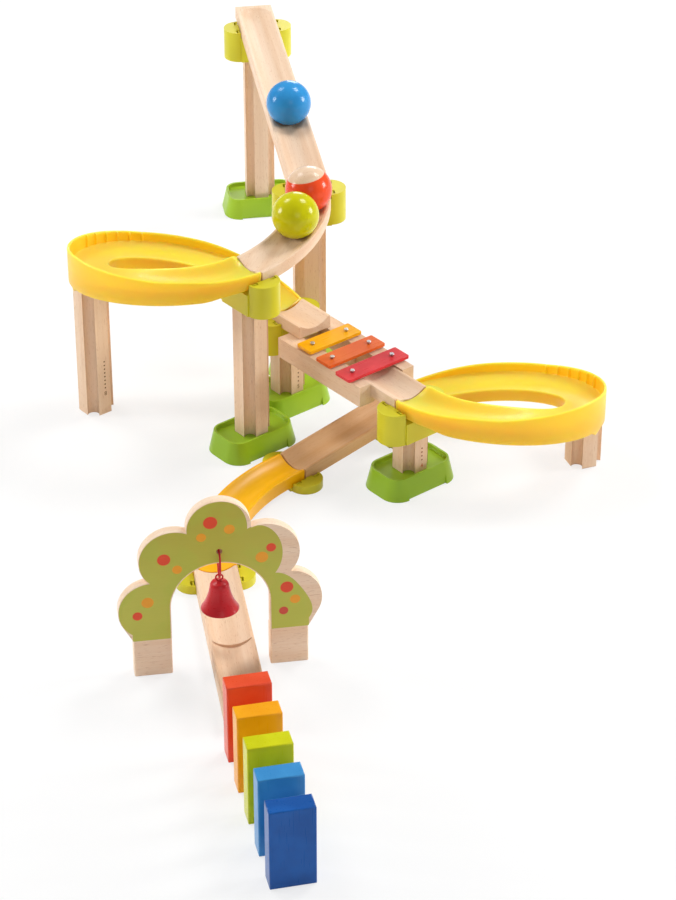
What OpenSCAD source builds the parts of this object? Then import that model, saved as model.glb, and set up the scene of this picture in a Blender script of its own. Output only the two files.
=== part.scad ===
// Ball track of wooden and moulded pieces on columns.
// Millimetres, +Z up, floor at z = 0, origin at the middle of the layout on the floor.
// The ball runs start ramp, upper bend, spiral 1, chimes, spiral 2, long ramp, low bend, finish.

/* [Layout] */
// Where the upper spiral is entered, across the layout
entry_x = -80.75; // [-200:0.1:200]
// Where the upper spiral is entered, along the layout
entry_y = 59.8; // [-200:0.1:200]
// Compass direction of the track into the upper spiral, in degrees
entry_heading = 219.3; // [200:0.1:240]
// Run of the start ramp between its connectors
start_run = 361; // [240:1:460]
// Length of the start ramp above its first connector
start_overrun = 34; // [32:1:60]
// Radius of the upper bend at the middle of the track
bend_r = 154; // [120:1:200]
// Radius of the low bend at the middle of the track
low_bend_r = 189; // [150:1:240]
// Turn of each bend, in degrees
bend_turn = 60; // [50:1:70]
// Run of the chimes between their connectors
chime_run = 186; // [180:1:220]
// Run of the long ramp between its connectors
ramp_run = 122; // [110:1:180]
// Length of the finish track
finish_run = 220; // [200:1:280]

/* [Track] */
// Width of a track
track_w = 39; // [36:0.5:42]
// Thickness of a track
track_t = 13; // [12:0.5:15]
// Depth of the rolling groove
groove_depth = 6; // [4:0.25:7]
// Flat lip on each side of the groove
lip_w = 2.8; // [2:0.1:4]
// Gap between two tracks where they meet
joint_gap = 1.3; // [0.8:0.1:1.8]
// Wall left at the closed end of the start ramp
end_wall = 6; // [4:0.5:10]
// Length of the finish track before its step
step_at = 112; // [90:1:150]
// Drop of the groove at the step
step_drop = 2.5; // [1:0.25:3]
// Lip beside the groove after the step
step_lip = 1.7; // [1.5:0.1:2.5]

/* [Columns] */
// Width of a column over its arms
column_w = 31; // [30:0.5:34]
// Radius of the groove along each corner of a column
notch_r = 5.7; // [5.4:0.1:6]
// How far in from the corner the groove has its middle
notch_in = 4.5; // [4:0.1:4.8]
// Turn of the far column under the upper spiral against the spiral, in degrees
far_turn_1 = 45; // [0:1:90]
// Turn of the far column under the lower spiral against the spiral, in degrees
far_turn_2 = 26; // [0:1:90]
// Height of one level
level_h = 14.4; // [14:0.1:15]
// Levels of the start column
start_levels = 13; // [13:1:15]
// Levels of the column at the bend
bend_levels = 12; // [12:1:14]
// Levels of the column at the upper spiral
spiral_levels = 11; // [11:1:12]
// Levels of the column at the head of the chimes
chime_levels = 5; // [5:1:6]
// Levels of the column at the foot of the chimes
exit_levels = 4; // [4:1:5]

/* [Feet] */
// Length of a foot on the floor
foot_l = 82.5; // [78:0.5:88]
// Width of a foot on the floor
foot_w = 54.5; // [48:0.5:55]
// Height of a foot
foot_h = 22; // [20:0.5:28]
// Corner radius of a foot in plan
foot_corner = 18; // [16:0.5:20]
// How far the walls of a foot lean in
foot_draft = 5; // [3:0.5:7]
// Depth of the tray in the top of a foot
tray_depth = 4; // [3:0.5:8]
// Rim around the tray
tray_rim = 4; // [3:0.5:6]
// Height of the column seat above the floor
seat_z = 10; // [8:0.5:12]
// Depth of the waist on the long sides
waist = 2.2; // [1:0.1:3]

/* [Connectors] */
// Radius of a side lobe
lobe_r = 16.5; // [15:0.5:19]
// Height of a connector that takes a column
connector_h = 33; // [31:0.5:35]
// Height of the lobes above the bed that carries a track
lobe_rise = 4.5; // [3.5:0.25:6]
// Depth of the column socket
socket_depth = 12.5; // [10:0.5:14]
// Wall of the saddle around the column
saddle_wall = 2.2; // [1.8:0.1:3]
// Bed height of the connector at the head of the long ramp
ramp_bed = 22.5; // [20:0.5:26]
// Bed height of a connector that lies on the floor
low_bed = 4; // [3:0.5:6]
// Distance of a clip from the middle of its lobe
clip_at = 10.5; // [9:0.5:11]
// Length of a clip pocket
pocket_l = 6.4; // [5.5:0.1:8]
// Width of a clip pocket
pocket_w = 4.2; // [3.5:0.1:5]
// Thickness of a clip tongue
tongue_t = 1.7; // [1.2:0.1:2]
// Running fit between pieces that slide together
fit = 0.3; // [0.2:0.05:0.5]

/* [Spirals] */
// Distance from the entry of a spiral back to where its exit crosses
cross_in = 75.5; // [70:0.5:90]
// Distance from the exit of a spiral on to where it crosses the entry
cross_out = 40; // [36:0.5:50]
// Distance from that crossing to the middle of the far lane
loop_reach = 215.5; // [200:0.5:240]
// Pull of the lane out of the entry
entry_pull = 52; // [45:1:60]
// Pull of the lane around the far end
far_pull = 68; // [60:1:76]
// Wall thickness of the moulding
shell_t = 2.6; // [2.2:0.1:3.2]
// Dip of the outer wall along the front of a spiral
wall_dip = 5; // [2:0.5:7]
// How far the outer wall reaches below the lane between the connectors
skirt_drop = 3; // [1:0.5:4]
// Least height of the outer wall above the edge of the lane
wall_least = 7; // [4:0.5:10]
// Height of the lane floor above its bed at the far end
far_floor = 11; // [11:0.1:13]
// Even fall of the lane, before the steeper or flatter way into the exit
fall_even = 66; // [60:0.5:72]
// How far the seat of the far column hangs below the outer wall
seat_drop = 4.1; // [4:0.1:6]
// Height of the raised lip along the inner edge of the entry half
lip_h = 4.5; // [3:0.25:6]
// Height of the rattle ribs on the outer wall
rib_h = 1.8; // [1:0.1:2]

/* [Chimes] */
// Distance from the head connector to the rails
rail_start = 28; // [26:0.5:32]
// Length of a rail
rail_l = 123; // [120:1:130]
// Width of a rail
rail_w = 18; // [16:0.5:20]
// Height of a rail
rail_h = 21; // [20:0.5:26]
// Clear width between the rails
rail_gap = 30; // [28:0.5:34]
// Length of the entry chute
entry_chute_l = 43; // [38:0.5:48]
// Length of the exit chute
exit_chute_l = 66; // [60:0.5:72]
// Length of the shortest chime bar
bar_l = 63.5; // [60:0.5:66]
// Growth of each next chime bar
bar_growth = 5.3; // [3:0.1:6]
// Width of a chime bar
bar_w = 21; // [18:0.5:23]
// Thickness of a chime bar
bar_t = 3; // [2.5:0.1:4]
// Distance from the head connector to the first chime bar
bar_first = 65.5; // [64:0.5:68]
// Pitch of the chime bars
bar_pitch = 32; // [30:0.5:33]
// Thickness of the felt under a bar
felt_t = 1.4; // [1:0.1:2]
// Upward play of a bar under its pin heads
bar_play = 1.1; // [0.9:0.1:1.6]
// Diameter of a chime pin
pin_d = 2; // [1.6:0.1:2.4]
// Diameter of a pin head
pin_head_d = 4.6; // [4:0.1:5.5]

/* [Tree gate] */
// Distance from the head of the finish track to the middle of the gate's board
gate_at = 126; // [120:1:134]
// Sideways place of the gate against the finish track
gate_offset = -11; // [-12:0.5:-4]
// Thickness of the tree board
board_t = 9.5; // [9:0.5:12]
// Inner radius of the gate
gate_r = 42.4; // [41:0.2:43]
// Height of the middle of the inner arch
gate_z = 67.5; // [66:0.5:70]
// Height of a foot block
block_h = 37; // [34:0.5:40]
// Width of a foot block
block_w = 33; // [30:0.5:36]
// Depth of a foot block
block_d = 14; // [13:0.5:24]
// Diameter of a dowel between block and board
dowel_d = 6; // [5:0.5:8]
// Height of the bell cord hole
cord_hole_z = 121.5; // [119:0.5:126]
// Diameter of the bell cord hole
cord_hole_d = 5; // [4.5:0.1:6]

/* [Bell] */
// Height of the bell pivot, where its eye hangs on the cord
bell_pivot_z = 92.8; // [90:0.1:95]
// Height of the bell body
bell_h = 28; // [26:0.5:30]
// Diameter of the bell rim
bell_d = 33; // [30:0.5:35]
// Wall of the bell
bell_wall = 1.4; // [1.2:0.1:2]
// Diameter of the bell cord
cord_d = 1.8; // [1.4:0.1:2]

/* [Dominoes] */
// Width of a domino
domino_w = 38; // [34:0.5:42]
// Thickness of a domino
domino_t = 18; // [15:0.5:20]
// Height of a domino
domino_h = 76; // [70:0.5:82]
// Pitch of the domino row
domino_pitch = 40.8; // [38:0.2:46]
// Distance from the end of the finish track to the first domino's middle
domino_first = 32; // [26:0.5:40]
// Sideways place of the first domino against the finish track
domino_side = -4.6; // [-8:0.2:8]
// Turn of the domino row against the finish track, in degrees
domino_turn = 3.9; // [-6:0.1:6]
// Rounding of the domino edges
domino_round = 1.6; // [1:0.1:2.5]

/* [Balls] */
// Diameter of a ball
ball_d = 45; // [44.5:0.1:45.5]
// Place of the first ball along the start ramp
ball_1_at = 228; // [150:1:260]
// Place of the second ball around the upper bend, in degrees
ball_2_at = 15.4; // [14.6:0.1:15.6]
// Place of the third ball around the upper bend, in degrees
ball_3_at = 33; // [32.8:0.1:34]

/* [Hidden] */
$fn = 64;
eps = 0.01;

// Colours
beech = "#e8cda9";
spiral_yellow = "#f6c63c";
bend_orange = "#f9b013";
clip_lime = "#d2cb2f";
foot_green = "#86b02c";
leaf_green = "#a9ab46";

// Headings of the pieces
chime_heading = entry_heading + 90;
outer_heading = entry_heading + bend_turn;
function along(heading) = [cos(heading), sin(heading)];
bend_chord = 2 * bend_r * sin(bend_turn / 2);
low_chord = 2 * low_bend_r * sin(bend_turn / 2);

// Plan places of the connectors
at_spiral = [entry_x, entry_y];
at_bend = at_spiral - bend_chord * along(entry_heading + bend_turn / 2);
at_start = at_bend - start_run * along(outer_heading);
cross_1 = at_spiral - cross_in * along(entry_heading);
at_chime_head = cross_1 + cross_out * along(entry_heading - 90);
at_chime_exit = at_chime_head + chime_run * along(chime_heading);
cross_2 = at_chime_exit - cross_in * along(chime_heading);
at_ramp_head = cross_2 + cross_out * along(chime_heading + 90);
at_ramp_foot = at_ramp_head + ramp_run * along(entry_heading);
at_finish = at_ramp_foot + low_chord * along(entry_heading + bend_turn / 2);
axis_1 = entry_heading - 45;
axis_2 = chime_heading + 45;
at_far_1 = cross_1 + loop_reach * along(axis_1);
at_far_2 = cross_2 + loop_reach * along(axis_2);

// Heights of the beds that carry the tracks
saddle_h = connector_h - lobe_rise;
function stand_z(levels) = seat_z + levels * level_h - socket_depth;
function bed_z(levels) = stand_z(levels) + saddle_h;
bed_start = bed_z(start_levels);
bed_bend = bed_z(bend_levels);
bed_spiral = bed_z(spiral_levels);
bed_chime_head = bed_z(chime_levels);
bed_chime_exit = bed_z(exit_levels);

saddle_half = column_w / 2 + fit + saddle_wall;

// Groove of a track
groove_half = track_w / 2 - lip_w;
function arc_radius(half, depth) = (half * half + depth * depth) / (2 * depth);
groove_r = arc_radius(groove_half, groove_depth);
step_half = track_w / 2 - step_lip;
step_depth = groove_depth + step_drop;
step_r = arc_radius(step_half, step_depth);
groove_floor = track_t - groove_depth;

// Slopes, in degrees
start_slope = atan((bed_start - bed_bend) / start_run);
bend_drop = bed_bend - bed_spiral;
bend_slope = atan(bend_drop / bend_chord);
ramp_slope = atan((ramp_bed - low_bed) / ramp_run);

module at(place, z, heading) {
  translate([place[0], place[1], z])
    rotate([0, 0, heading])
      children();
}

// Feet
tray_z = foot_h - tray_depth;

module foot_body(inset, height, lean) {
  hull()
    for (x = [-1, 1], y = [-1, 1])
      translate([x * (foot_l / 2 - foot_corner), y * (foot_w / 2 - foot_corner), 0])
        cylinder(h = height, r1 = foot_corner - inset, r2 = foot_corner - inset - lean, $fn = 32);
}

// Plus-shaped section of a column, grown by a clearance
module column_section(grow) {
  notch_at = column_w / 2 - notch_in;
  difference() {
    square(column_w + 2 * grow, center = true);
    for (turn = [0:90:270])
      rotate([0, 0, turn])
        translate([notch_at, notch_at]) {
          circle(r = notch_r - grow);
          translate([eps, eps])
            square(notch_in + 2 * fit);
        }
  }
}

module rounded_bar(length, width, radius) {
  square([length - 2 * radius, width], center = true);
  square([length, width - 2 * radius], center = true);
  for (x = [-1, 1], y = [-1, 1])
    translate([x * (length / 2 - radius), y * (width / 2 - radius)])
      circle(r = radius);
}

module foot(place, heading, column_heading) {
  waist_l = foot_l - 2 * foot_corner;
  tray_inset = tray_rim + foot_draft * tray_z / foot_h;
  color(foot_green)
    at(place, 0, heading)
      difference() {
        foot_body(0, foot_h, foot_draft);
        translate([0, 0, tray_z])
          foot_body(tray_inset, tray_depth + eps, -foot_draft * tray_depth / foot_h);
        translate([0, 0, seat_z])
          rotate([0, 0, column_heading - heading])
            linear_extrude(foot_h)
              column_section(fit);
        for (side = [-1, 1])
          translate([-waist_l / 2, side * (foot_w / 2 - waist / 2) - waist / 2, -eps])
            cube([waist_l, waist, seat_z]);
      }
}

// Columns
module column(place, z, height, heading) {
  color(beech)
    at(place, z, heading)
      linear_extrude(height)
        column_section(0);
}

// Connectors
module lobe(height) {
  inner = track_w / 2 + fit;
  difference() {
    translate([0, inner, 0])
      cylinder(h = height, r = lobe_r);
    translate([-lobe_r - eps, inner - lobe_r - eps, -eps])
      cube([2 * lobe_r + 2 * eps, lobe_r + eps, height + 2 * eps]);
    for (x = [-clip_at, clip_at])
      translate([x - pocket_l / 2, inner - eps, height - lobe_rise])
        cube([pocket_l, pocket_w, lobe_rise + eps]);
  }
}

tongue_gap = 0.9;

module clip_tongues(height) {
  tongue_l = pocket_l - 2 * tongue_gap;
  tongue_y = track_w / 2 + fit + tongue_t;
  for (side = [-1, 1], x = [-clip_at, clip_at])
    translate([x - tongue_l / 2, side * tongue_y - tongue_t / 2, height - lobe_rise - eps])
      cube([tongue_l, tongue_t, lobe_rise - fit]);
}

module connector_body(height) {
  inner = track_w / 2 + fit;
  lobe(height);
  mirror([0, 1, 0])
    lobe(height);
  translate([-saddle_half, -inner - eps, 0])
    cube([2 * saddle_half, 2 * inner + 2 * eps, height - lobe_rise]);
  clip_tongues(height);
}

// Room for a sloping track between two places along a connector, wider to the left or the right
room_side = 0.25;
room_half = track_w / 2 + fit + room_side;
module slope_room(slope, from, to, left, right) {
  intersection() {
    rotate([0, slope, 0])
      translate([-2 * connector_h, -room_half - right, -fit])
        cube([4 * connector_h, 2 * room_half + left + right, track_t]);
    translate([from, -track_w, -track_t])
      cube([to - from, 2 * track_w, 2 * track_t]);
  }
}

module column_socket() {
  translate([0, 0, -eps])
    linear_extrude(socket_depth + eps)
      column_section(fit);
}

// A connector on a column, less the room for its tracks in the connector's own plan from its bed
module saddle_connector(place, levels, heading) {
  at(place, stand_z(levels), heading)
    difference() {
      connector_body(connector_h);
      column_socket();
      translate([0, 0, saddle_h])
        children();
    }
}

// A connector on the floor, less the room for the low bend on one side of it
module floor_connector(place, heading, from, to) {
  color(clip_lime)
    at(place, 0, heading)
      difference() {
        connector_body(low_bed + lobe_rise);
        translate([0, 0, low_bed])
          slope_room(0, from, to, bend_swing, 0);
      }
}

// Straight and bent wooden tracks
module track_section() {
  difference() {
    translate([-track_w / 2, 0])
      square([track_w, track_t]);
    translate([0, groove_floor + groove_r])
      circle(r = groove_r, $fn = 128);
  }
}

module straight_track(length) {
  rotate([90, 0, 90])
    linear_extrude(length)
      track_section();
}

module start_ramp() {
  total = start_overrun + start_run / cos(start_slope) - joint_gap / 2;
  groove_from = end_wall + groove_half;
  color(beech)
    at(at_bend, bed_bend, outer_heading)
      rotate([0, start_slope, 0])
        translate([-total - joint_gap / 2, 0, 0])
          difference() {
            translate([0, -track_w / 2, 0])
              cube([total, track_w, track_t]);
            translate([groove_from, 0, groove_floor + groove_r])
              rotate([0, 90, 0])
                cylinder(h = total, r = groove_r, $fn = 128);
            translate([groove_from, 0, groove_floor + groove_r])
              sphere(r = groove_r, $fn = 128);
          }
}

// The bend lies in one tilted plane: its pose, shared with the balls that roll on it
bend_tilt_r = bend_r / cos(bend_slope);
module bend_pose() {
  at(at_spiral, bed_spiral, entry_heading + bend_turn / 2)
    rotate([0, bend_slope, 0])
      rotate([0, 0, -bend_turn / 2])
        translate([0, -bend_tilt_r, 0])
          children();
}

module bend_room() {
  bend_pose()
    rotate([0, 0, 90])
      rotate_extrude(angle = bend_turn, $fn = 180)
        translate([bend_tilt_r - room_half, -fit])
          square([2 * room_half, track_t]);
}

module upper_bend() {
  gap_turn = joint_gap / 2 / bend_tilt_r * 180 / PI;
  color(beech)
    bend_pose()
      rotate([0, 0, 90 + gap_turn])
        rotate_extrude(angle = bend_turn - 2 * gap_turn, $fn = 180)
          translate([bend_tilt_r, 0])
            track_section();
}

// The long ramp is cut plumb at both ends
module long_ramp() {
  sloping = ramp_run / cos(ramp_slope);
  color(beech)
    at(at_ramp_foot, low_bed, entry_heading)
      intersection() {
        rotate([0, ramp_slope, 0])
          translate([-sloping - track_t, 0, 0])
            straight_track(sloping + 2 * track_t);
        translate([joint_gap / 2 - ramp_run, -track_w, -track_t])
          cube([ramp_run - joint_gap, 2 * track_w, ramp_bed + 2 * track_t]);
      }
}

module low_bend() {
  gap_turn = joint_gap / 2 / low_bend_r * 180 / PI;
  color(bend_orange)
    at(at_ramp_foot, low_bed, entry_heading)
      translate([0, low_bend_r, 0])
        rotate([0, 0, -90 + gap_turn])
          rotate_extrude(angle = bend_turn - 2 * gap_turn, $fn = 180)
            translate([low_bend_r, 0])
              track_section();
}

module finish_track() {
  length = finish_run - joint_gap / 2;
  color(beech)
    at(at_finish, 0, outer_heading)
      translate([joint_gap / 2, 0, 0])
        difference() {
          translate([0, -track_w / 2, 0])
            cube([length, track_w, low_bed + track_t]);
          translate([-saddle_half - joint_gap, -track_w, -eps])
            cube([2 * saddle_half + joint_gap, 2 * track_w, low_bed + eps]);
          translate([-eps, 0, low_bed + groove_floor + groove_r])
            rotate([0, 90, 0])
              cylinder(h = length + 2 * eps, r = groove_r, $fn = 128);
          translate([step_at, 0, low_bed + track_t - step_depth + step_r])
            rotate([0, 90, 0])
              cylinder(h = length, r = step_r, $fn = 128);
        }
}

// Lane of a spiral: two curves from the entry around the far end to the exit.
// In the spiral's own plan +X runs from the crossing to the far end and the entry is at -Y.
half_turn = sqrt(0.5);
lane_entry = cross_in * half_turn * [1, -1];
lane_exit = cross_out * half_turn * [1, 1];
lane_shoulder = lane_entry + entry_pull * half_turn * [1, -1];
curve_in = [lane_entry, lane_shoulder, [loop_reach, -far_pull], [loop_reach, 0]];
curve_out = [[loop_reach, 0], [loop_reach, far_pull], [lane_shoulder[0], -lane_shoulder[1]], lane_exit];

function bezier(p, t) =
  let (u = 1 - t)
  u * u * u * p[0] + 3 * u * u * t * p[1] + 3 * u * t * t * p[2] + t * t * t * p[3];
function bezier_way(p, t) =
  let (u = 1 - t)
  let (way = u * u * (p[1] - p[0]) + 2 * u * t * (p[2] - p[1]) + t * t * (p[3] - p[2]))
  way / norm(way);
function lane_at(t) = t < 0.5 ? bezier(curve_in, 2 * t) : bezier(curve_out, 2 * t - 1);
function lane_way(t) = t < 0.5 ? bezier_way(curve_in, 2 * t) : bezier_way(curve_out, 2 * t - 1);

// Fall of the lane below its entry: even at first, the rest of the drop comes near the exit
late_power = 6;
function lane_fall(t, drop) = fall_even * t + (drop - fall_even) * pow(t, late_power);
function ease(x) =
  let (u = min(max(x, 0), 1))
  u * u * (3 - 2 * u);

// Top of the outer wall above the lane bed: level along the front, then coming down to the exit
dip_end = 0.2;
wall_knee = 0.42;
wall_power = 1.3;
wall_soft = 4;
function wall_front(t, drop) = track_t - wall_dip * ease(t / dip_end) + lane_fall(t, drop);
function wall_back(t, drop) =
  track_t + (lane_fall(wall_knee, drop) - wall_dip) * pow((1 - t) / (1 - wall_knee), wall_power);
function soft_min(a, b, soft) = (a + b - sqrt((a - b) * (a - b) + soft * soft)) / 2;
function wall_top(t, drop) =
  soft_min(wall_front(t, drop), wall_back(t, drop), wall_soft * ease(4 * t * (1 - t)));

// Least wall above the edge of the lane, fading out to a track's lip at both ends
low_ramp = 0.2;
function wall_low(t) = track_t - groove_floor - edge_rise - soft / 2
  + wall_least * ease(min(t, 1 - t) / low_ramp);

// The skirt under the outer wall stays clear of the connectors
skirt_from = 0.075;
skirt_ramp = 0.05;
function skirt_z(t) = -skirt_drop * ease((min(t, 1 - t) - skirt_from) / skirt_ramp);

// The far column stands under a flat seat, where the floor is solid down to below the walls
boss_half = 0.05;
boss_ramp = 0.04;
wall_draft = 0.2;
function far_seat(drop) = -skirt_drop - seat_drop - lane_fall(0.5, drop);
function boss_share(t) = 1 - ease((abs(t - 0.5) - boss_half) / boss_ramp);

lane_steps = 96;
rib_places = [for (k = [0:5]) 0.569 + 0.025 * k];
rib_half = 0.0027;
rib_side = 0.0016;
rib_rings = [-rib_half, rib_side - rib_half, rib_half - rib_side, rib_half];
lane_stations = [for (i = [0:lane_steps])
  each concat([i / lane_steps],
    [for (place = rib_places, ring = rib_rings)
      if (floor((place + ring) * lane_steps) == i) place + ring])];
function rib_share(t) =
  max([for (place = rib_places) min(1, max(0, (rib_half - abs(t - place)) / rib_side))]);
floor_steps = 6;
edge_rise = 3.5;
soft = 1;
end_trim = joint_gap / 2;

// The lip rises behind the track's end and dies out on the way round
lip_ramp = 0.03;
lip_end = 0.42;
lip_fade = 0.2;
function lip_share(t) = ease(t / lip_ramp) * ease((lip_end - t) / lip_fade);

// Closed section of the moulding at t, as [outward, up] from the bed
function lane_section(t, drop, rib) =
  let (half = track_w / 2)
  let (floor_z = groove_floor + (far_floor - groove_floor) * sin(180 * t))
  let (rim = max(track_t, floor_z + soft / 2) + lip_h * lip_share(t))
  let (edge = floor_z + edge_rise)
  let (top = max(wall_top(t, drop), edge + wall_low(t)))
  let (wall_in = half - shell_t)
  let (rim_in = -half + shell_t)
  let (plain = floor_z - shell_t)
  let (under = plain + boss_share(t) * (far_seat(drop) + lane_fall(t, drop) - plain))
  concat(
    [[-half, 0], [-half, rim - soft], [-half + soft, rim]],
    [for (i = [0:floor_steps])
      let (side = 2 * i / floor_steps - 1)
      let (lift = (side < 0 ? rim - soft / 2 : edge) - floor_z)
      [rim_in + i * (wall_in - rim_in) / floor_steps, floor_z + lift * side * side]],
    [[wall_in - rib, edge + soft / 2], [wall_in - rib, top - soft], [half - shell_t / 2, top],
     [half, top - soft], [half, skirt_z(t)]],
    [[wall_in, skirt_z(t)], [wall_in - wall_draft, under], [rim_in + wall_draft, under],
     [rim_in, 0]]);

function lane_ring(t, drop) =
  let (way = lane_way(t))
  let (out = [way[1], -way[0]])
  let (mid = lane_at(t))
  [for (p = lane_section(t, drop, rib_h * rib_share(t)))
    [mid[0] + out[0] * p[0], mid[1] + out[1] * p[0], p[1] - lane_fall(t, drop)]];

module lane(drop) {
  end_speed = 6 * entry_pull;
  trim_in = end_trim / end_speed;
  rings = [for (t = lane_stations)
    lane_ring(min(max(t, trim_in), 1 - trim_in), drop)];
  last = len(rings) - 1;
  sides = len(rings[0]);
  points = [for (ring = rings) each ring];
  skin = [for (i = [0:last - 1], j = [0:sides - 1])
    let (k = (j + 1) % sides)
    each [[i * sides + j, (i + 1) * sides + k, i * sides + k],
      [i * sides + j, (i + 1) * sides + j, (i + 1) * sides + k]]];
  first_cap = [[for (j = [0:sides - 1]) j]];
  last_cap = [[for (j = [sides - 1:-1:0]) last * sides + j]];
  color(spiral_yellow)
    polyhedron(points = points, faces = concat(skin, first_cap, last_cap), convexity = 8);
}

drop_1 = bed_spiral - bed_chime_head;
drop_2 = bed_chime_exit - ramp_bed;

module spiral_1() {
  at(cross_1, bed_spiral, axis_1)
    mirror([0, 1, 0])
      lane(drop_1);
}

module spiral_2() {
  at(cross_2, bed_chime_exit, axis_2)
    lane(drop_2);
}

// Chimes: rails level with the bed at the head, in the run's own plan
exit_bed = bed_chime_exit - bed_chime_head;
exit_from = chime_run - joint_gap / 2 - exit_chute_l;
pin_share = 0.327;
pin_depth = 12;
pin_head_t = 1.3;
felt_d = 8;
snug = 0.1;
bar_z = felt_t + fit;
bar_top = bar_z + bar_t;
function bar_length(i) = bar_l + i * bar_growth;
function bar_x(i) = bar_first + i * bar_pitch;
function pin_y(i) = pin_share * bar_length(i);
bar_round = 1.5;
cross_bar_in = 2.8;
cross_bar_l = 11;
cross_bar_h = 12;

module chime_pose() {
  at(at_chime_head, bed_chime_head, chime_heading)
    children();
}

module each_pin(bars) {
  for (i = bars, side = [-1, 1])
    translate([bar_x(i), side * pin_y(i), 0])
      children();
}

module chime_rail(side) {
  color(beech)
    chime_pose()
      difference() {
        translate([rail_start, side * (rail_gap + rail_w) / 2 - rail_w / 2, -rail_h])
          cube([rail_l, rail_w, rail_h]);
        translate([exit_from - fit, -track_w / 2 - fit, exit_bed])
          cube([rail_l, track_w + 2 * fit, rail_h]);
        each_pin([0, 1, 2])
          translate([0, 0, -pin_depth - fit])
            cylinder(h = pin_depth + 2 * fit, d = pin_d + snug);
      }
}

module chime_rail_near() { chime_rail(-1); }
module chime_rail_far() { chime_rail(1); }

module chime_entry_chute() {
  color(beech)
    chime_pose()
      translate([joint_gap / 2, 0, 0])
        straight_track(entry_chute_l);
}

module chime_exit_chute() {
  color(beech)
    chime_pose()
      translate([exit_from, 0, exit_bed])
        straight_track(exit_chute_l);
}

module chime_cross_bar() {
  color(beech)
    chime_pose()
      for (x = [rail_start + cross_bar_in, bar_x(1) - bar_w])
        translate([x, -rail_gap / 2, -rail_h])
          cube([cross_bar_l, rail_gap, cross_bar_h]);
}

module chime_bar(i, paint) {
  color(paint)
    chime_pose()
      difference() {
        translate([bar_x(i), 0, bar_z])
          linear_extrude(bar_t)
            rounded_bar(bar_w, bar_length(i), bar_round);
        each_pin([i])
          translate([0, 0, bar_z - eps])
            cylinder(h = bar_t + 2 * eps, d = pin_d + 2 * fit);
      }
}

module chime_bar_yellow() { chime_bar(0, "#f9b000"); }
module chime_bar_orange() { chime_bar(1, "#ee6a28"); }
module chime_bar_red() { chime_bar(2, "#e0343a"); }

module chime_pins() {
  color("#d9dade")
    chime_pose()
      each_pin([0, 1, 2]) {
        translate([0, 0, -pin_depth])
          cylinder(h = pin_depth + bar_top + bar_play + eps, d = pin_d);
        translate([0, 0, bar_top + bar_play])
          cylinder(h = pin_head_t, d = pin_head_d);
      }
}

module chime_felts() {
  color("#efe9dc")
    chime_pose()
      each_pin([0, 1, 2])
        difference() {
          cylinder(h = felt_t, d = felt_d);
          translate([0, 0, -eps])
            cylinder(h = felt_t + 2 * eps, d = pin_d + 2 * fit);
        }
}

// Tree gate: a board on two blocks across the finish track.
// In the gate's own plan +X is the front, +Y runs across and z is the real height.
tree_lobes = [[0, 76.6, 27.6], [39, 48, 29.5], [58.4, -1, 29]];
block_mid = gate_r + block_w / 2;
block_set = 0.6;
block_back = (board_t - block_d) / 2 - block_set;
dowel_half = 14;
dowel_apart = block_w / 4;
block_round = 1.5;
knee_turn = 30;

module gate_pose() {
  at(at_finish, 0, outer_heading)
    translate([gate_at, gate_offset, 0])
      children();
}

module each_dowel(sides) {
  for (side = sides, step = [-1, 1])
    translate([0, side * (block_mid + step * dowel_apart), block_h - dowel_half])
      children();
}

module tree_outline() {
  low = tree_lobes[2];
  knee = [low[0] + low[2] * cos(knee_turn), gate_z + low[1] - low[2] * sin(knee_turn)];
  foot = [gate_r + block_w, block_h];
  lobe_mids = [for (p = tree_lobes) [-p[0], gate_z + p[1]]];
  left = concat(lobe_mids, [[-knee[0], knee[1]], [-foot[0], foot[1]]]);
  right = [for (i = [len(left) - 1:-1:1]) [-left[i][0], left[i][1]]];
  difference() {
    union() {
      polygon(concat(left, right));
      for (p = tree_lobes, side = [-1, 1])
        translate([side * p[0], gate_z + p[1]])
          circle(r = p[2]);
    }
    translate([0, gate_z])
      circle(r = gate_r, $fn = 96);
    translate([-gate_r, 0])
      square([2 * gate_r, gate_z]);
    translate([-2 * foot[0], -foot[0]])
      square([4 * foot[0], foot[0] + block_h]);
    translate([0, cord_hole_z])
      circle(d = cord_hole_d);
  }
}

module tree_board() {
  color(leaf_green)
    gate_pose()
      difference() {
        rotate([90, 0, 90])
          linear_extrude(board_t, center = true)
            tree_outline();
        each_dowel([-1, 1])
          cylinder(h = 2 * dowel_half + snug, d = dowel_d + snug);
      }
}

module tree_block(side) {
  color(beech)
    gate_pose()
      difference() {
        translate([block_back, side * block_mid, 0])
          linear_extrude(block_h)
            rounded_bar(block_d, block_w, block_round);
        each_dowel([side])
          translate([0, 0, -snug])
            cylinder(h = 2 * dowel_half, d = dowel_d + snug);
      }
}

module tree_block_left() { tree_block(-1); }
module tree_block_right() { tree_block(1); }

module tree_dowels() {
  color(beech)
    gate_pose()
      each_dowel([-1, 1])
        cylinder(h = 2 * dowel_half, d = dowel_d);
}

// Bell on its cord loop, around the gate's middle
eye_r = 3;
eye_t = 1.5;
cord_fit = 0.8;
eye_hang = eye_r - eye_t / 2 - cord_d / 2 - cord_fit;
bell_top_z = bell_pivot_z - eye_hang - eye_r;
bell_rim_z = bell_top_z - bell_h;
bell_steps = 14;
crown_share = 0.14;
function crown(f) =
  let (x = min(1, f / crown_share))
  sqrt(x * (2 - x));
crown_part = 0.46;
cone_part = 0.24;
flare_part = 0.3;
function bell_curve(f) = bell_d / 2 * (crown_part * crown(f) + cone_part * f + flare_part * pow(f, 3));

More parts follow.
